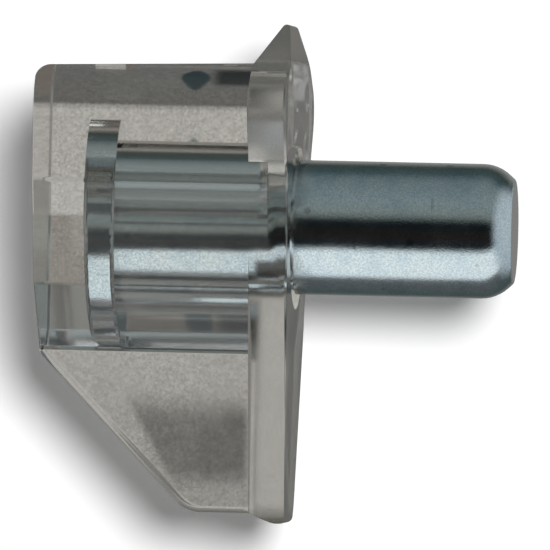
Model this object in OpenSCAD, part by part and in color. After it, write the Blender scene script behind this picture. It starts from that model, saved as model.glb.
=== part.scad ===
// Plug-in shelf support: a clear moulded bracket on a steel pin with a flange inside the bracket.
//
// The pin runs along +X and plugs into a round hole in the side of a cabinet. The back face of
// the bracket lies on the cabinet side (the plane X = 0), and the shelf rests on the platform,
// which looks along +Z. The origin is on the pin's axis, in the plane of the back face.
// All sizes are in millimetres.

/* [Steel pin] */
// Diameter of the pin, and so of the hole that it plugs into
pin_d = 5; // [3:0.5:5.5]
// How far the pin stands out behind the bracket
pin_reach = 8.1; // [5:0.1:14]
// How far the pin goes into the bracket
pin_grip = 7.55; // [5:0.05:8.2]
// How much the pin's radius is turned down where the sleeve holds it
grip_step = 0.16; // [0.16:0.02:0.4]
// Length of the taper at the end of the pin
pin_taper_len = 0.62; // [0.3:0.02:1.5]
// How much the taper takes off the radius
pin_taper_h = 0.58; // [0.2:0.02:1]
// Rounding between the pin and its taper
pin_taper_r = 1.5; // [0.5:0.1:2]
// Rounding of the edge of the end face
pin_edge_r = 0.15; // [0.05:0.05:0.3]
// Diameter of the flange at the inner end of the pin
flange_d = 7.7; // [7:0.1:7.7]
// Thickness of the flange
flange_t = 1.1; // [0.5:0.05:2]
// Rounding of the flange's edges
flange_edge_r = 0.15; // [0.05:0.05:0.25]

/* [Sleeve] */
// Wall of the sleeve round the pin
sleeve_wall = 0.55; // [0.4:0.05:0.8]
// How far the open end of the sleeve lies behind the back face
sleeve_set_back = 0.15; // [0.05:0.05:0.5]

/* [Bracket] */
// Depth of the bracket, from its front to its back face
body_depth = 9.43; // [9.2:0.01:14]
// Height of the platform above the pin's axis, at the back
platform_h = 6; // [5.6:0.1:8]
// How much lower the platform lies at the front
platform_fall = 0.22; // [0.02:0.02:0.5]
// Width of the bracket
body_w = 9.8; // [9.75:0.05:10]
// Height above the pin's axis down to which the sides are upright
side_end_h = 1.54; // [1.42:0.02:1.54]
// Angle of the flanks below that, against the upright
flank_angle = 20; // [17:1:20]
// Rounding between each side and its flank
flank_r = 0.6; // [0.4:0.1:1]
// Depth, below the pin's axis, at which the flanks turn in towards the rib
keel_h = 2.29; // [2.2:0.01:2.32]
// Rounding of that turn
keel_r = 0.4; // [0.2:0.1:0.8]
// Depth, below the pin's axis, at which the underside meets the rib
belly_h = 4.67; // [4.65:0.01:4.8]
// Rounding between each side and the platform
shoulder_r = 1.9; // [0.5:0.1:2.5]
// Rounding of the platform's front edge
nose_r = 0.55; // [0.2:0.05:1]
// Rounding between the front and the slope of the rib
chin_r = 0.5; // [0.2:0.05:1]

/* [Rib] */
// Thickness of the rib under the bracket
rib_t = 2.3; // [1.6:0.1:3.5]
// Depth of the rib's foot below the pin's axis
foot_h = 10.65; // [9.5:0.05:14]
// Depth, below the pin's axis, at which the slope leaves the front
slope_start = 4.86; // [4.8:0.02:6]
// Angle of the slope against the horizontal
slope_angle = 46; // [42:1:52]
// Rounding between the slope and the foot
heel_r = 1.3; // [0.5:0.1:3]
// Rounding between the rib and the underside
rib_fillet_r = 0.3; // [0.2:0.05:0.5]

/* [Back plate] */
// Thickness of the plate
plate_t = 1.42; // [1.38:0.02:2]
// Width of the plate between its shoulders, before they are rounded
plate_w = 13; // [12.4:0.1:13.6]
// Height of the plate's shoulders above the pin's axis
plate_shoulder_h = 4.6; // [4.4:0.05:4.7]
// Rounding of the plate's shoulders
plate_shoulder_r = 1.2; // [0.5:0.1:1.6]
// Width of the plate at its neck, where it springs from the sides of the bracket
plate_neck_w = 8.6; // [8.4:0.1:9]
// Height of the neck above the pin's axis
plate_neck_h = 1.5; // [1.4:0.1:1.8]
// Width of the plate where it tapers to its foot
plate_waist_w = 7.8; // [7:0.1:8]
// Depth of that waist below the pin's axis
plate_waist_h = 2.6; // [2.4:0.1:3]
// Width of the plate at its foot
plate_foot_w = 3.7; // [3.7:0.1:5]
// Rounding of the plate's lower corners
plate_foot_r = 1.2; // [0.5:0.1:1.4]
// How far the plate's foot lies below the rib's foot
plate_drop = 0.36; // [0.2:0.02:0.5]
// Length of the slope under the plate's foot
plate_toe_len = 0.85; // [0.4:0.05:0.9]
// Rounding of the plate's foot towards the rib
plate_toe_r = 0.7; // [0.3:0.05:0.7]
// Rounding of the plate's foot towards the cabinet side
plate_heel_r = 0.2; // [0.1:0.05:0.2]
// How far the plate's foot lies in front of the back face
plate_foot_lean = 0.1; // [0.05:0.01:0.12]
// Depth, below the pin's axis, at which that lean starts
plate_lean_start = 3.6; // [3.3:0.1:5]

/* [Lip] */
// Height of the lip above the platform, before its tip is rounded
lip_h = 1.76; // [0.8:0.02:2]
// How far the tip of the lip lies in front of the back face
lip_lean = 0.36; // [0.3:0.02:0.6]
// Rounding of the tip
lip_tip_r = 0.15; // [0.1:0.01:0.2]
// Rounding between the lip and the back face
lip_back_r = 3; // [1:0.5:4]
// Height at which the two sides of the plate's top would meet
peak_h = 8.35; // [8:0.05:9.5]
// Rounding of that peak
peak_r = 1.5; // [0.5:0.1:2]

/* [Hidden] */

// Gap on the radius between two pieces that are pressed together
fit_gap = 0.015;
// How far the round of a corner would run past the flat that it meets, so that they meet in an edge
corner_run = 0.1;
$fn = 96;

pin_r = pin_d / 2;
grip_r = pin_r - grip_step;
sleeve_r = pin_r + sleeve_wall;
flange_r = flange_d / 2;
flange_back_x = -pin_grip + flange_t;
rib_half = rib_t / 2;
keel_half = body_w / 2 - (side_end_h + keel_h) * tan(flank_angle);
plate_foot_h = foot_h + plate_drop;
// A width that is wider than every piece
cut_w = 2 * plate_w;

// ---- plane shapes with rounded corners ----

function at(points, i) = points[(i + len(points)) % len(points)];
function unit(v) = v / norm(v);

// Positive at a corner that points outwards, for points that go round counter-clockwise
function turn(points, i) =
    let (a = at(points, i) - at(points, i - 1), b = at(points, i + 1) - at(points, i))
    a[0] * b[1] - a[1] * b[0];

// Each corner is [x, y, radius]. The arcs are true circles, so that they stay true surfaces.
module rounded_polygon(corners) {
    points = [for (c = corners) [c[0], c[1]]];
    difference() {
        union() {
            polygon(points);
            for (i = [0 : len(corners) - 1])
                if (corners[i][2] > 0 && turn(points, i) < 0) corner_web(points, i, corners[i][2]);
        }
        for (i = [0 : len(corners) - 1])
            if (corners[i][2] > 0 && turn(points, i) > 0) corner_web(points, i, corners[i][2]);
    }
}

// What lies between a sharp corner and the arc that rounds it, and a little past the corner
module corner_web(points, i, r) {
    corner = at(points, i);
    to_last = unit(at(points, i - 1) - corner);
    to_next = unit(at(points, i + 1) - corner);
    half_angle = acos(to_last * to_next) / 2;
    centre = corner + unit(to_last + to_next) * r / sin(half_angle);
    tangent_len = r / tan(half_angle);
    difference() {
        polygon([
            corner + (corner - centre) / 4,
            corner + to_last * tangent_len,
            centre,
            corner + to_next * tangent_len,
        ]);
        translate(centre) circle(r);
    }
}

// The corners of one side, those on the middle line, and the same side again, mirrored
function both_sides(side, middle = []) =
    concat(side, middle, [for (i = [len(side) - 1 : -1 : 0]) [-side[i][0], side[i][1], side[i][2]]]);

// A shape drawn in (y, z), pushed along X from x0 to x1
module along_x(x0, x1) translate([x0, 0, 0]) rotate([90, 0, 90]) linear_extrude(x1 - x0) children();

// A shape drawn in (x, z), pushed along Y over the width w
module along_y(w) translate([0, w / 2, 0]) rotate([90, 0, 0]) linear_extrude(w) children();

// A turned shape drawn in (radius, x), with its axis along X
module turned() rotate([0, 90, 0]) rotate_extrude() children();

// ---- bracket ----

// The bracket as seen along the pin: a block whose flanks lean in below it, and the rib
module body_section()
    rounded_polygon(both_sides([
        [rib_half, -2 * foot_h, 0],
        [rib_half, -belly_h, rib_fillet_r],
        [keel_half, -keel_h, keel_r],
        [body_w / 2, side_end_h, flank_r],
        [body_w / 2, platform_h + corner_run, shoulder_r],
    ]));

// The bracket as seen from its side
module body_profile() {
    rounded_polygon([
        [-body_depth, platform_h - platform_fall, nose_r],
        [-body_depth, -slope_start, chin_r],
        [-body_depth + (foot_h - slope_start) / tan(slope_angle), -foot_h, heel_r],
        [-plate_t / 2, -foot_h, 0],
        [-plate_t / 2, platform_h, 0],
    ]);
}

// The back plate as seen along the pin
module plate_section()
    rounded_polygon(both_sides([
        [plate_foot_w / 2, -plate_foot_h - corner_run, plate_foot_r],
        [plate_waist_w / 2, -plate_waist_h, 0],
        [plate_neck_w / 2, plate_neck_h, 0],
        [plate_w / 2, plate_shoulder_h, plate_shoulder_r],
    ], [[0, peak_h, peak_r]]));

// The back plate and the lip as seen from the side
module plate_profile()
    rounded_polygon([
        [-plate_t, -foot_h, 0],
        [-plate_t + plate_toe_len, -plate_foot_h, plate_toe_r],
        [-plate_foot_lean, -plate_foot_h, plate_heel_r],
        [0, -plate_lean_start, 0],
        [0, platform_h, lip_back_r],
        [-lip_lean, platform_h + lip_h, lip_tip_r],
        [-plate_t, platform_h - corner_run, 0],
    ]);

// Half section of the room for the flange and the sleeve, open at the back face
module pin_room() {
    room_x = -pin_grip - fit_gap;
    translate([0, room_x]) square([sleeve_r + fit_gap, plate_t - room_x]);
    translate([0, room_x]) square([flange_r + fit_gap, flange_t + 2 * fit_gap]);
}

module support_body() color([0.80, 0.80, 0.77, 0.5])
    difference() {
        union() {
            intersection() {
                along_x(-body_depth, 0) body_section();
                along_y(cut_w) body_profile();
            }
            intersection() {
                along_x(-body_depth, 0) plate_section();
                along_y(cut_w) plate_profile();
            }
        }
        turned() pin_room();
    }

// ---- sleeve ----

module pin_sleeve() color([0.86, 0.87, 0.86, 0.5])
    turned() {
        bore_r = grip_r + fit_gap;
        inner_x = flange_back_x + fit_gap;
        translate([bore_r, inner_x]) square([sleeve_r - bore_r, -sleeve_set_back - inner_x]);
    }

// ---- pin ----

module steel_pin() color([0.62, 0.68, 0.70])
    turned() rounded_polygon([
        [0, -pin_grip, 0],
        [flange_r, -pin_grip, flange_edge_r],
        [flange_r, flange_back_x, flange_edge_r],
        [grip_r, flange_back_x, 0],
        [grip_r, 0, 0],
        [pin_r, 0, 0],
        [pin_r, pin_reach - pin_taper_len, pin_taper_r],
        [pin_r - pin_taper_h, pin_reach, pin_edge_r],
        [0, pin_reach, 0],
    ]);

support_body();
pin_sleeve();
steel_pin();
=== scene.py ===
"""Looks for the plug-in shelf support: a clear moulded bracket on a zinc-plated steel pin.

The frame is the CAD part, in metres: +X along the pin, +Z up, origin on the pin's axis in the
plane of the bracket's back face. The camera looks along +Y, almost square to the pin.
"""

import math

import bmesh
import bpy
from mathutils import Matrix, Vector


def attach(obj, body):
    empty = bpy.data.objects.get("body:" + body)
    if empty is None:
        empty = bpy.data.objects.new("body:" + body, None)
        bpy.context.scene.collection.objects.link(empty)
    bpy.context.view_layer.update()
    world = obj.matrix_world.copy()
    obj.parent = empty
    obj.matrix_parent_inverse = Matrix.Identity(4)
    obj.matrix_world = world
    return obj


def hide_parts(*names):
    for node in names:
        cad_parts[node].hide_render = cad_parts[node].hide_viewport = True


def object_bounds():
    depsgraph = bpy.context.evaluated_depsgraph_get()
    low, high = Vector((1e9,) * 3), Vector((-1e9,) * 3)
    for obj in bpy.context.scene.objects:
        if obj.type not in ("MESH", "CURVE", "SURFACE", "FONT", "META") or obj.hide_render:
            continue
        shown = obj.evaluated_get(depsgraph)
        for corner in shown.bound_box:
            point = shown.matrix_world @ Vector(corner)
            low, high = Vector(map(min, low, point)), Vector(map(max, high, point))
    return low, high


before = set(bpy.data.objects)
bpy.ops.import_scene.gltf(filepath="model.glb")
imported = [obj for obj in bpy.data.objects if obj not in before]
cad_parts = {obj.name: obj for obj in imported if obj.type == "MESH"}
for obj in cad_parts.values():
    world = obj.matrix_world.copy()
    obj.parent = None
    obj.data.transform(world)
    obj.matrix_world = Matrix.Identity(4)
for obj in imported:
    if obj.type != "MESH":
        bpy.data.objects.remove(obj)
cad_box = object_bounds()

MM = 0.001
scene = bpy.context.scene


# ---- small helpers ----


class Graph:
    """Adds and links nodes in one node tree."""

    def __init__(self, tree):
        self.tree = tree
        tree.nodes.clear()

    def add(self, kind, ins=None, **props):
        node = self.tree.nodes.new(kind)
        for key, value in props.items():
            setattr(node, key, value)
        for key, value in (ins or {}).items():
            socket = node.inputs[key]
            if isinstance(value, bpy.types.NodeSocket):
                self.tree.links.new(value, socket)
            else:
                socket.default_value = value
        return node

    def math(self, op, *values):
        node = self.add("ShaderNodeMath", operation=op)
        for socket, value in zip(node.inputs, values):
            if isinstance(value, bpy.types.NodeSocket):
                self.tree.links.new(value, socket)
            else:
                socket.default_value = value
        return node.outputs[0]

    def product(self, *values):
        result = values[0]
        for value in values[1:]:
            result = self.math("MULTIPLY", result, value)
        return result

    def span(self, value, low, high, to_low=0.0, to_high=1.0, smooth=True):
        """Maps value from low..high to to_low..to_high, held at the ends."""
        ends = {"From Min": low, "From Max": high, "To Min": to_low, "To Max": to_high}
        kind = "SMOOTHSTEP" if smooth else "LINEAR"
        node = self.add("ShaderNodeMapRange", {"Value": value, **ends}, interpolation_type=kind)
        return node.outputs["Result"]

    def band(self, value, low, low_full, high_full, high):
        """0 up to low, 1 between the two full values, and 0 again from high."""
        return self.product(self.span(value, low, low_full), self.span(value, high_full, high, 1.0, 0.0))

    def noise(self, at, scale, detail, rough=0.5):
        ins = {"Vector": at, "Scale": scale, "Detail": detail, "Roughness": rough}
        return self.add("ShaderNodeTexNoise", ins).outputs["Fac"]

    def millimetres(self, at):
        """The three coordinates of a point, in millimetres."""
        parts = self.add("ShaderNodeSeparateXYZ", {"Vector": at}).outputs
        return [self.math("DIVIDE", parts[axis], MM) for axis in "XYZ"]

    def mix(self, factor, a, b, blend="MIX"):
        node = self.add("ShaderNodeMix", data_type="RGBA", blend_type=blend)
        for key, value in (("Factor", factor), ("A", a), ("B", b)):
            if isinstance(value, bpy.types.NodeSocket):
                self.tree.links.new(value, node.inputs[key])
            elif key == "Factor":
                node.inputs[key].default_value = value
            else:
                node.inputs[key].default_value = (*value, 1.0)
        return node.outputs["Result"]

    def ramp(self, factor, stops):
        node = self.add("ShaderNodeValToRGB", {"Fac": factor})
        elements = node.color_ramp.elements
        elements.remove(elements[1])
        for i, (position, colour) in enumerate(stops):
            element = elements[0] if i == 0 else elements.new(position)
            element.position = position
            element.color = (*colour, 1.0)
        return node.outputs["Color"]


def material(name):
    mat = bpy.data.materials.new(name)
    mat.use_nodes = True
    return mat, Graph(mat.node_tree)


def dress(obj, mat):
    obj.data.materials.clear()
    obj.data.materials.append(mat)


# ---- plane shapes, in millimetres ----

ARC_STEP = math.radians(5)


def arc(centre, radius, start, sweep):
    """Points round a centre, in steps of about ARC_STEP."""
    count = max(2, round(abs(sweep) / ARC_STEP))
    angles = [start + sweep * i / count for i in range(count + 1)]
    return [centre + radius * Vector((math.cos(a), math.sin(a))) for a in angles]


def outline(corners):
    """The points of a polygon whose corners, each (a, b, radius), are rounded."""
    points = []
    for i, (a, b, radius) in enumerate(corners):
        corner = Vector((a, b))
        if radius == 0:
            points.append(corner)
            continue
        before = (Vector(corners[i - 1][:2]) - corner).normalized()
        after = (Vector(corners[(i + 1) % len(corners)][:2]) - corner).normalized()
        half = before.angle(after) / 2
        centre = corner + (before + after).normalized() * radius / math.sin(half)
        first = corner + before * radius / math.tan(half) - centre
        last = corner + after * radius / math.tan(half) - centre
        start = math.atan2(first.y, first.x)
        sweep = (math.atan2(last.y, last.x) - start + math.pi) % math.tau - math.pi
        points += arc(centre, radius, start, sweep)
    return points


def inset(corners, depth):
    """The corners of a polygon drawn in by depth. They go round counter-clockwise."""
    moved = []
    for i, (a, b, radius) in enumerate(corners):
        corner = Vector((a, b))
        before = (Vector(corners[i - 1][:2]) - corner).normalized()
        after = (Vector(corners[(i + 1) % len(corners)][:2]) - corner).normalized()
        outwards = math.copysign(1.0, after.cross(before))
        corner += outwards * (before + after).normalized() * depth / math.sin(before.angle(after) / 2)
        moved.append((corner.x, corner.y, radius - outwards * depth if radius else 0))
    return moved


def both_sides(side, middle=()):
    """The corners of one side, those on the middle line, and the same side again, mirrored."""
    return side + list(middle) + [(-a, b, radius) for a, b, radius in reversed(side)]


# ---- solids ----


def solid(name, rings, closed=False):
    """A solid skinned over rings of points: flat at both ends, or closed to a loop."""
    bm = bmesh.new()
    loops = [[bm.verts.new(p) for p in ring] for ring in rings]
    for one, two in zip(loops, loops[1:] + loops[:1] if closed else loops[1:]):
        for i in range(len(one)):
            bm.faces.new((one[i - 1], one[i], two[i], two[i - 1]))
    if not closed:
        bm.faces.new(loops[0])
        bm.faces.new(loops[-1])
    bmesh.ops.remove_doubles(bm, verts=bm.verts, dist=1e-8)
    bmesh.ops.dissolve_degenerate(bm, edges=bm.edges, dist=1e-8)
    bmesh.ops.recalc_face_normals(bm, faces=bm.faces)
    mesh = bpy.data.meshes.new(name)
    bm.to_mesh(mesh)
    bm.free()
    piece = bpy.data.objects.new(name, mesh)
    scene.collection.objects.link(piece)
    return piece


def pushed(corners, low, high, low_round, high_round):
    """Outlines and their places along a push, drawn in towards an end whose edge is rounded."""
    quarter = [math.radians(a) for a in range(0, 91, 15)]
    rows = [(low_round * (1 - math.sin(t)), low + low_round * (1 - math.cos(t))) for t in quarter]
    ends = [(high_round * (1 - math.sin(t)), high - high_round * (1 - math.cos(t))) for t in quarter]
    rows = (rows if low_round else [(0, low)]) + (ends[::-1] if high_round else [(0, high)])
    return [(outline(inset(corners, depth)), place) for depth, place in rows]


def along_x(name, corners, x0, x1, round0=0, round1=0):
    """A shape drawn in (y, z), pushed along X."""
    rows = pushed(corners, x0, x1, round0, round1)
    return solid(name, [[MM * Vector((x, p.x, p.y)) for p in points] for points, x in rows])


def along_y(name, corners, half, edge_round=0):
    """A shape drawn in (x, z), pushed along Y to both sides."""
    rows = pushed(corners, -half, half, edge_round, edge_round)
    return solid(name, [[MM * Vector((p.x, y, p.y)) for p in points] for points, y in rows])


def turned(name, points, steps=180):
    """A shape drawn in (radius, x), turned about X."""
    turns = [math.tau * k / steps for k in range(steps)]
    rings = [[MM * Vector((x, r * math.cos(t), r * math.sin(t))) for r, x in points] for t in turns]
    return solid(name, rings, closed=True)


def combine(base, tool, operation):
    """Applies one boolean to base and removes the tool."""
    step = base.modifiers.new(operation, "BOOLEAN")
    step.operation = operation
    step.object = tool
    step.solver = "EXACT"
    shaped = base.evaluated_get(bpy.context.evaluated_depsgraph_get())
    uncut = base.data
    base.data = bpy.data.meshes.new_from_object(shaped)
    base.modifiers.clear()
    bpy.data.meshes.remove(uncut)
    bpy.data.objects.remove(tool)
    return base


def smooth(piece):
    """Smooth shading that keeps the true edges sharp."""
    piece.data.shade_smooth()
    piece.data.set_sharp_from_angle(angle=math.radians(24))


# ---- the clear pieces: the sizes are those of the CAD part, in millimetres ----

body_depth, body_w = 9.43, 9.8
platform_h, platform_fall = 6.0, 0.22
side_end_h, flank_angle, flank_r = 1.54, math.radians(20), 0.6
keel_h, keel_r, belly_h = 2.29, 0.4, 4.67
shoulder_r, nose_r, chin_r, heel_r = 1.9, 0.55, 0.5, 1.3
rib_half, rib_fillet_r, foot_h = 1.15, 0.3, 10.65
slope_start, slope_angle = 4.86, math.radians(46)
plate_t, plate_w, plate_shoulder_h, plate_shoulder_r = 1.42, 13.0, 4.6, 1.2
plate_neck_w, plate_neck_h, plate_waist_w, plate_waist_h = 8.6, 1.5, 7.8, 2.6
plate_foot_w, plate_foot_r, plate_foot_h = 3.7, 1.2, 11.01
plate_toe_len, plate_toe_r, plate_heel_r = 0.85, 0.7, 0.2
plate_foot_lean, plate_lean_start = 0.1, 3.6
lip_h, lip_lean, lip_tip_r, lip_back_r = 1.76, 0.36, 0.15, 3.0
peak_h, peak_r = 8.35, 1.5
pin_grip, flange_r, flange_t = 7.55, 3.85, 1.1
sleeve_r, bore_r, sleeve_set_back, fit_gap = 3.05, 2.355, 0.15, 0.015
corner_run = 0.1
# edges rounded for the looks only
front_edge_r, rib_edge_r, plate_edge_r = 0.08, 0.2, 0.12


def body_section():
    """The body as seen along the pin: a block whose flanks lean in below it, and the rib."""
    keel_half = body_w / 2 - (side_end_h + keel_h) * math.tan(flank_angle)
    return both_sides([
        (rib_half, -2 * foot_h, 0),
        (rib_half, -belly_h, rib_fillet_r),
        (keel_half, -keel_h, keel_r),
        (body_w / 2, side_end_h, flank_r),
        (body_w / 2, platform_h + corner_run, shoulder_r),
    ])


def block_profile():
    """The block as seen from its side."""
    return [
        (-body_depth, platform_h - platform_fall, nose_r),
        (-body_depth, -belly_h - rib_fillet_r / 2, 0),
        (-plate_t / 2, -belly_h - rib_fillet_r / 2, 0),
        (-plate_t / 2, platform_h, 0),
    ]


def rib_profile():
    """The rib as seen from its side, up to the middle of the block."""
    return [
        (-body_depth, 0, 0),
        (-body_depth, -slope_start, chin_r),
        (-body_depth + (foot_h - slope_start) / math.tan(slope_angle), -foot_h, heel_r),
        (-plate_t / 2, -foot_h, 0),
        (-plate_t / 2, 0, 0),
    ]


def plate_section():
    """The back plate as seen along the pin."""
    side = [
        (plate_foot_w / 2, -plate_foot_h - corner_run, plate_foot_r),
        (plate_waist_w / 2, -plate_waist_h, 0),
        (plate_neck_w / 2, plate_neck_h, 0),
        (plate_w / 2, plate_shoulder_h, plate_shoulder_r),
    ]
    return both_sides(side, [(0, peak_h, peak_r)])


def plate_profile():
    """The back plate and the lip as seen from the side."""
    return [
        (-plate_t, -foot_h, 0),
        (-plate_t + plate_toe_len, -plate_foot_h, plate_toe_r),
        (-plate_foot_lean, -plate_foot_h, plate_heel_r),
        (0, -plate_lean_start, 0),
        (0, platform_h, lip_back_r),
        (-lip_lean, platform_h + lip_h, lip_tip_r),
        (-plate_t, platform_h - corner_run, 0),
    ]


def pin_room():
    """Half the room for the flange and the sleeve, open at the back face, as (radius, x)."""
    front, step = -pin_grip - fit_gap, -pin_grip + flange_t + fit_gap
    wide, narrow = flange_r + fit_gap, sleeve_r + fit_gap
    return [(0, front), (wide, front), (wide, step), (narrow, step), (narrow, plate_t), (0, plate_t)]


def clear_bracket():
    """The bracket of the CAD part with finer rounds, so that light bends through them smoothly."""
    piece = along_x("clear_bracket", body_section(), -body_depth, 0, front_edge_r)
    combine(piece, along_y("block", block_profile(), plate_w), "INTERSECT")
    combine(piece, along_y("rib", rib_profile(), rib_half, rib_edge_r), "UNION")
    plate = along_x("plate", plate_section(), -body_depth, 0, 0, plate_edge_r)
    combine(plate, along_y("plate_side", plate_profile(), plate_w), "INTERSECT")
    combine(piece, plate, "UNION")
    combine(piece, turned("room", pin_room()), "DIFFERENCE")
    smooth(piece)
    normals = piece.modifiers.new("face_normals", "WEIGHTED_NORMAL")
    normals.mode = "FACE_AREA"
    normals.weight = 100
    normals.keep_sharp = True
    return piece


def clear_sleeve():
    """The sleeve of the CAD part with a finer round."""
    front, end = -pin_grip + flange_t + fit_gap, -sleeve_set_back
    section = [(bore_r, front), (sleeve_r, front), (sleeve_r, end), (bore_r, end)]
    piece = turned("clear_sleeve", section)
    smooth(piece)
    return piece


bracket = clear_bracket()
sleeve = clear_sleeve()
for piece, node, slot in (
    (bracket, "support_body", "bracket_plastic"),
    (sleeve, "pin_sleeve", "sleeve_plastic"),
):
    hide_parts(node)
    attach(piece, "root")
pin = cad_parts["steel_pin"]


# ---- materials ----


def dull_parts(g, x, y, z):
    """1 on the parts of the back plate that stand clear of the block, 0 elsewhere."""
    ear = g.span(g.math("ABSOLUTE", y), body_w / 2, body_w / 2 + 0.1)
    lip = g.span(z, platform_h, platform_h + 0.2)
    leg = g.span(z, -plate_waist_h, -plate_waist_h + 0.4, 0.6, 0.0)
    clear_of = g.math("MAXIMUM", g.math("MAXIMUM", ear, lip), leg)
    return g.product(clear_of, g.span(x, -plate_t - 0.18, -plate_t - 0.03))


def touching_skins(g, x, y, z):
    """1 where the moulding, the sleeve and the steel touch below the middle, 0 elsewhere."""
    radius = g.math("SQRT", g.math("ADD", g.product(y, y), g.product(z, z)))
    return g.product(
        g.math("GREATER_THAN", x, -pin_grip - 0.15),
        g.math("LESS_THAN", x, -0.02),
        g.math("LESS_THAN", radius, flange_r + 0.1),
        g.math("LESS_THAN", z, -0.4),
    )


def clear_plastic(name, absorb, density, rough, speckle):
    """Clear moulded plastic: faint flow marks, a fine grain in its skin, and a slight haze."""
    ripple, dull_rough = 0.004 * MM, 0.26
    mat, g = material(name)
    at = g.add("ShaderNodeTexCoord").outputs["Object"]
    place = g.millimetres(at)
    flow = g.noise(at, 260.0, 3.0)
    grain = g.noise(at, 15000.0, 2.0, 0.6)
    height = g.math("ADD", flow, g.product(grain, 0.05))
    bump = g.add("ShaderNodeBump", {"Height": height, "Strength": 1.0, "Distance": ripple})
    clean = g.span(grain, 0.3, 0.7, 1.0 - speckle, 1.0)
    haze = g.span(flow, 0.35, 0.7, rough, 1.6 * rough)
    shader = g.add(
        "ShaderNodeBsdfPrincipled",
        {
            "Base Color": g.mix(clean, (0.0, 0.0, 0.0), (1.0, 0.995, 0.98)),
            "Transmission Weight": 1.0,
            "IOR": 1.58,
            "Specular IOR Level": 0.1,
            "Roughness": g.math("ADD", haze, g.product(dull_parts(g, *place), dull_rough)),
            "Normal": bump.outputs["Normal"],
        },
    )
    # no film of air bends the light where the pieces touch
    straight_on = g.add("ShaderNodeBsdfTransparent")
    skin = g.add(
        "ShaderNodeMixShader",
        {0: touching_skins(g, *place), 1: shader.outputs[0], 2: straight_on.outputs[0]},
    )
    inside = g.add("ShaderNodeVolumeAbsorption", {"Color": (*absorb, 1.0), "Density": density})
    g.add("ShaderNodeOutputMaterial", {"Surface": skin.outputs[0], "Volume": inside.outputs[0]})
    return mat


def zinc_steel(name):
    """Bright zinc plating with a faint blue cast: a mottled grain, a few specks and rub marks."""
    mat, g = material(name)
    at = g.add("ShaderNodeTexCoord").outputs["Object"]
    along = g.add("ShaderNodeMapping", {"Vector": at, "Scale": (0.2, 1.0, 1.0)}).outputs[0]
    around = g.add("ShaderNodeMapping", {"Vector": at, "Scale": (1.0, 0.12, 0.12)}).outputs[0]
    cloud = g.noise(at, 900.0, 5.0, 0.65)
    grain = g.noise(at, 13000.0, 2.0, 0.7)
    streak = g.noise(along, 2600.0, 3.0)
    # fine rub marks round the pin, kept to a few narrow places along it
    rub = g.span(g.noise(around, 5200.0, 2.0), 0.66, 0.72)
    mark = g.product(rub, g.span(g.noise(around, 700.0, 1.0), 0.60, 0.68))
    cells = g.add("ShaderNodeTexVoronoi", {"Vector": at, "Scale": 620.0, "Randomness": 1.0})
    speck = g.span(cells.outputs["Distance"], 0.06, 0.12, 1.0, 0.0)

    tint = g.ramp(
        cloud,
        [(0.3, (0.58, 0.67, 0.72)), (0.5, (0.72, 0.79, 0.81)), (0.72, (0.82, 0.86, 0.85))],
    )
    tint = g.mix(g.span(grain, 0.3, 0.7, 0.36, 0.0), tint, (0.22, 0.26, 0.29))
    soiled = g.math("MAXIMUM", g.product(speck, 0.5), g.product(mark, 0.45))
    tint = g.mix(soiled, tint, (0.20, 0.18, 0.17))
    broad = g.math("ADD", g.product(streak, 0.5), g.product(cloud, 0.9))
    relief = g.math("ADD", broad, g.product(grain, 0.8))
    height = g.math("SUBTRACT", relief, g.product(mark, 0.8))
    bump = g.add("ShaderNodeBump", {"Height": height, "Strength": 1.0, "Distance": 0.004 * MM})
    shader = g.add(
        "ShaderNodeBsdfPrincipled",
        {
            "Base Color": tint,
            "Metallic": 1.0,
            "Roughness": g.span(cloud, 0.3, 0.7, 0.11, 0.17),
            "Normal": bump.outputs["Normal"],
        },
    )
    g.add("ShaderNodeOutputMaterial", {"Surface": shader.outputs[0]})
    return mat


dress(bracket, clear_plastic("bracket_plastic", (0.93, 0.925, 0.90), 30.0, 0.06, 0.2))
dress(sleeve, clear_plastic("sleeve_plastic", (0.95, 0.955, 0.96), 40.0, 0.08, 0.02))
dress(pin, zinc_steel("zinc_steel"))


# ---- light ----

# the pale surface that shows through the plastic
PALE = (0.60, 0.585, 0.55)
# what shows straight through the plastic, by the height of the direction from 0, down, to 1, up:
# the pale surface, darker below and high above
CARD = [
    (0.00, (0.36, 0.35, 0.34)),
    (0.14, (0.30, 0.29, 0.28)),
    (0.21, (0.18, 0.175, 0.168)),
    (0.40, (0.17, 0.165, 0.155)),
    (0.478, (0.18, 0.175, 0.165)),
    (0.498, PALE),
    (0.62, PALE),
    (0.72, (0.34, 0.315, 0.28)),
    (0.84, (0.18, 0.16, 0.135)),
]
# what the steel mirrors, by the angle about the pin's axis in degrees: 0 in front, on the
# camera's side, 90 above and 180 behind. A long light lies low in front.
ROOM = [
    (-180, (0.24, 0.235, 0.225)),
    (-165, (0.18, 0.19, 0.18)),
    (-150, (0.07, 0.09, 0.09)),
    (-138, (0.08, 0.10, 0.10)),
    (-110, (0.11, 0.12, 0.125)),
    (-97, (0.16, 0.17, 0.18)),
    (-89, (0.90, 0.97, 1.0)),
    (-42, (0.93, 0.99, 1.0)),
    (-31, (0.008, 0.014, 0.018)),
    (-12, (0.018, 0.014, 0.012)),
    (9, (0.006, 0.01, 0.012)),
    (13, (0.02, 0.025, 0.025)),
    (21, (0.17, 0.19, 0.18)),
    (29, (0.24, 0.27, 0.26)),
    (48, (0.24, 0.29, 0.30)),
    (92, (0.17, 0.21, 0.22)),
    (113, (0.06, 0.09, 0.095)),
    (135, (0.05, 0.065, 0.06)),
    (160, (0.30, 0.30, 0.28)),
    (180, (0.24, 0.235, 0.225)),
]


def turn_share(angle):
    """The share of a whole turn, from -180 degrees, at which an angle lies."""
    return (angle + 180.0) / 360.0


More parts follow.
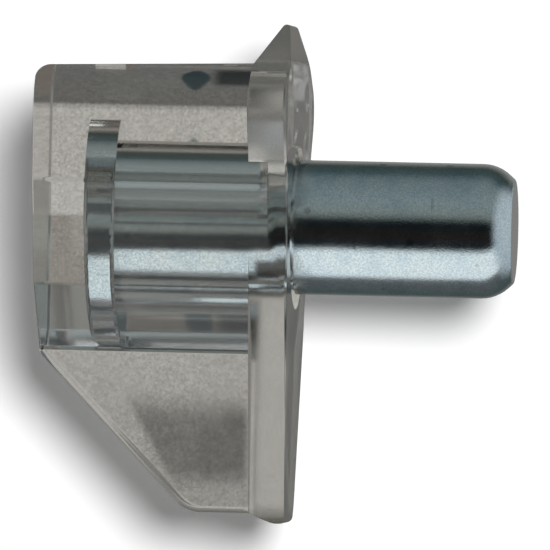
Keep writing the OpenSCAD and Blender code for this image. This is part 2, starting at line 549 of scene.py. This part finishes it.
def mirrored_room(g, way, within):
    """What a mirrored ray sees; within is 1 for a ray that has been through the plastic."""
    turn = g.math("ARCTAN2", way["Z"], g.product(way["Y"], -1.0))
    turn = g.span(turn, -math.pi, math.pi, smooth=False)
    room = g.ramp(turn, [(turn_share(angle), colour) for angle, colour in ROOM])
    ends = g.span(g.math("ABSOLUTE", way["X"]), 0.5, 0.85)
    room = g.mix(ends, room, g.mix(within, (0.52, 0.58, 0.62), (0.30, 0.30, 0.285)))
    # the warm grey that the plastic's underside gathers from behind and below
    under = g.band(turn, *[turn_share(angle) for angle in (-180, -168, -102, -92)])
    room = g.mix(g.product(within, under), room, (0.185, 0.17, 0.155))
    # and a little warmth over all but the long light, whose middle is at -65 degrees
    off_light = g.math("ABSOLUTE", g.math("SUBTRACT", turn, turn_share(-65)))
    warm = g.product(within, g.span(off_light, 0.06, 0.09))
    return g.mix(warm, room, (1.14, 1.09, 1.05), "MULTIPLY")


def sky():
    """White for the camera, the pale surface through the plastic, and a studio room for the steel."""
    world = bpy.data.worlds.new("studio")
    scene.world = world
    world.use_nodes = True
    world.cycles_visibility.diffuse = False
    g = Graph(world.node_tree)
    direction = g.add("ShaderNodeTexCoord").outputs["Generated"]
    way = g.add("ShaderNodeSeparateXYZ", {"Vector": direction}).outputs
    path = g.add("ShaderNodeLightPath").outputs
    within = g.math("GREATER_THAN", path["Transmission Depth"], 0.5)

    card = g.ramp(g.span(way["Z"], -1.0, 1.0, smooth=False), CARD)
    card = g.mix(g.math("GREATER_THAN", way["Y"], 0.0), PALE, card)
    unmirrored = g.math("LESS_THAN", path["Glossy Depth"], 0.5)
    straight = g.product(path["Is Transmission Ray"], unmirrored)
    # an inner face of the plastic mirrors the same card, straight back
    inner = g.product(within, g.span(way["Y"], 0.975, 0.992))
    seen = g.mix(g.math("MAXIMUM", straight, inner), mirrored_room(g, way, within), card)
    seen = g.mix(path["Is Camera Ray"], seen, (1.0, 1.0, 1.0))
    back = g.add("ShaderNodeBackground", {"Color": seen, "Strength": 1.0})
    g.add("ShaderNodeOutputWorld", {"Surface": back.outputs[0]})


def upright_card(name, behind, half, unseen_by):
    """A square card that faces the camera, behind the part and hidden from some kinds of ray."""
    y = cad_box[1][1] + behind
    bm = bmesh.new()
    corners = [(-half, y, -half), (half, y, -half), (half, y, half), (-half, y, half)]
    bm.faces.new([bm.verts.new(corner) for corner in corners])
    mesh = bpy.data.meshes.new(name)
    bm.to_mesh(mesh)
    bm.free()
    card = bpy.data.objects.new(name, mesh)
    scene.collection.objects.link(card)
    for ray in unseen_by:
        setattr(card, "visible_" + ray, False)
    return card


def backdrop():
    """The white card that takes the part's soft shadow. It is clear from behind."""
    card = upright_card("backdrop", 1.0 * MM, 0.12, ("glossy", "transmission", "diffuse", "shadow"))
    mat, g = material("backdrop_card")
    paper = g.add("ShaderNodeBsdfDiffuse", {"Color": (0.9, 0.9, 0.9, 1.0)})
    glow = g.add("ShaderNodeEmission", {"Color": (0.185, 0.185, 0.185, 1.0), "Strength": 1.0})
    both = g.add("ShaderNodeAddShader", {0: paper.outputs[0], 1: glow.outputs[0]})
    clear = g.add("ShaderNodeBsdfTransparent")
    behind = g.add("ShaderNodeNewGeometry").outputs["Backfacing"]
    shown = g.add("ShaderNodeMixShader", {0: behind, 1: both.outputs[0], 2: clear.outputs[0]})
    g.add("ShaderNodeOutputMaterial", {"Surface": shown.outputs[0]})
    dress(card, mat)


def shadow_lamp():
    """The lamp that throws the shadow on the backdrop, down and to the left."""
    lamp = bpy.data.lights.new("shadow_lamp", "SUN")
    lamp.angle = math.radians(15)
    lamp.energy = 3.0
    sun = bpy.data.objects.new("shadow_lamp", lamp)
    scene.collection.objects.link(sun)
    toward = Vector((-0.26, 1.0, -0.165))
    sun.rotation_euler = toward.to_track_quat("-Z", "Y").to_euler()
    sun.visible_glossy = False
    sun.visible_transmission = False


def painted_rib_shadow(g, x, z, cloud):
    """The painted shadow in the rib: a field which keeps off the slope, the foot and the plate."""
    lean = math.radians(60)
    corner_x, corner_z = -6.2, -6.75
    off_slope = g.math(
        "ADD",
        g.product(g.math("SUBTRACT", x, corner_x), math.sin(lean)),
        g.product(g.math("SUBTRACT", z, corner_z), math.cos(lean)),
    )
    return g.product(
        g.span(off_slope, -0.2, 0.25),
        g.band(z, -foot_h + 0.5, -foot_h + 1.6, -7.5, -6.1),
        g.span(x, -1.9, -1.5, 1.0, 0.0),
        g.span(cloud, 0.35, 0.65, 0.75, 1.0),
    )


def painted_steel_reflection(g, x, z):
    """1 in a rounded diamond under the shoulder, where a painted blue reflection of the steel shows, 0
    outside it.
    """
    middle_x, middle_z, half_x, half_z = -3.7, 2.2, 0.6, 1.1
    across = g.math("DIVIDE", g.math("SUBTRACT", x, middle_x), half_x)
    up = g.math("DIVIDE", g.math("SUBTRACT", z, middle_z), half_z)
    reach = g.math("ADD", *[g.math("POWER", g.math("ABSOLUTE", part), 1.5) for part in (across, up)])
    return g.span(reach, 0.7, 1.1, 1.0, 0.0)


def painted_shade_film():
    """A sheet behind the part, seen only through the plastic, that carries painted shade: a painted
    shadow in the rib, painted darkness under the shoulder and a painted blue reflection of the steel.

    They are placed for the camera of look() and slide against the part in other views.
    """
    darkest, darkest_tone, view_shift = 1.4, 0.12, 0.55
    # a sheet of painted shade, seen only through the plastic
    piece = upright_card("painted_shade_film", 0.5 * MM, 0.03, ("camera", "diffuse", "glossy", "shadow"))
    mat, g = material("painted_shade_film_mat")
    at = g.add("ShaderNodeTexCoord").outputs["Object"]
    x, _, z = g.millimetres(at)
    # from here x is where a mark shows in the middle plane of the part, not where it lies
    x = g.math("ADD", x, view_shift)
    # a painted shadow in the rib
    shade = painted_rib_shadow(g, x, z, g.noise(at, 420.0, 2.0))
    # painted shade: a dark place under the shoulder, by the plate
    painted_dark_patch = g.product(g.band(x, -3.3, -2.7, -plate_t, -plate_t + 0.06), g.band(z, 0.6, 1.4, 2.6, 3.1))
    shade = g.math("MAXIMUM", shade, g.product(painted_dark_patch, darkest))
    tone = g.span(shade, 0.0, darkest, 1.0, darkest_tone, smooth=False)
    grey = g.add("ShaderNodeCombineColor", {"Red": tone, "Green": tone, "Blue": tone}).outputs[0]
    # a painted blue reflection of the steel under the shoulder
    colour = g.mix(painted_steel_reflection(g, x, z), grey, (0.14, 0.23, 0.27))
    grain = g.span(g.noise(at, 14000.0, 2.0, 0.7), 0.3, 0.7, 0.42, 0.0)
    colour = g.mix(grain, colour, (0.0, 0.0, 0.0))
    clear = g.add("ShaderNodeBsdfTransparent", {"Color": colour})
    g.add("ShaderNodeOutputMaterial", {"Surface": clear.outputs[0]})
    dress(piece, mat)


sky()
backdrop()
shadow_lamp()
painted_shade_film()


# ---- camera ----


def look():
    """A long lens, 400 mm off, a little towards the pin's end, with the camera tipped by 1.3 degrees."""
    azimuth, roll, distance = math.radians(5.3), math.radians(1.3), 0.40
    picture, sensor = 20.446 * MM, 36.0
    # where the middle of the picture lies from the origin, in shares of its width
    aim_right, aim_up = -0.041, -0.087
    back = Vector((math.sin(azimuth), -math.cos(azimuth), 0.0))
    level = Vector((math.cos(azimuth), math.sin(azimuth), 0.0))
    right = level * math.cos(roll) + Vector((0, 0, 1)) * math.sin(roll)
    up = back.cross(right)
    aim = right * (aim_right * picture) + up * (aim_up * picture)
    data = bpy.data.cameras.new("camera")
    data.sensor_width = sensor
    data.lens = sensor * distance / picture
    data.clip_start = 0.01
    data.clip_end = 10.0
    camera = bpy.data.objects.new("camera", data)
    scene.collection.objects.link(camera)
    placed = Matrix((right, up, back)).transposed().to_4x4()
    placed.translation = aim + back * distance
    camera.matrix_world = placed
    scene.camera = camera


look()
scene.view_settings.view_transform = "Standard"
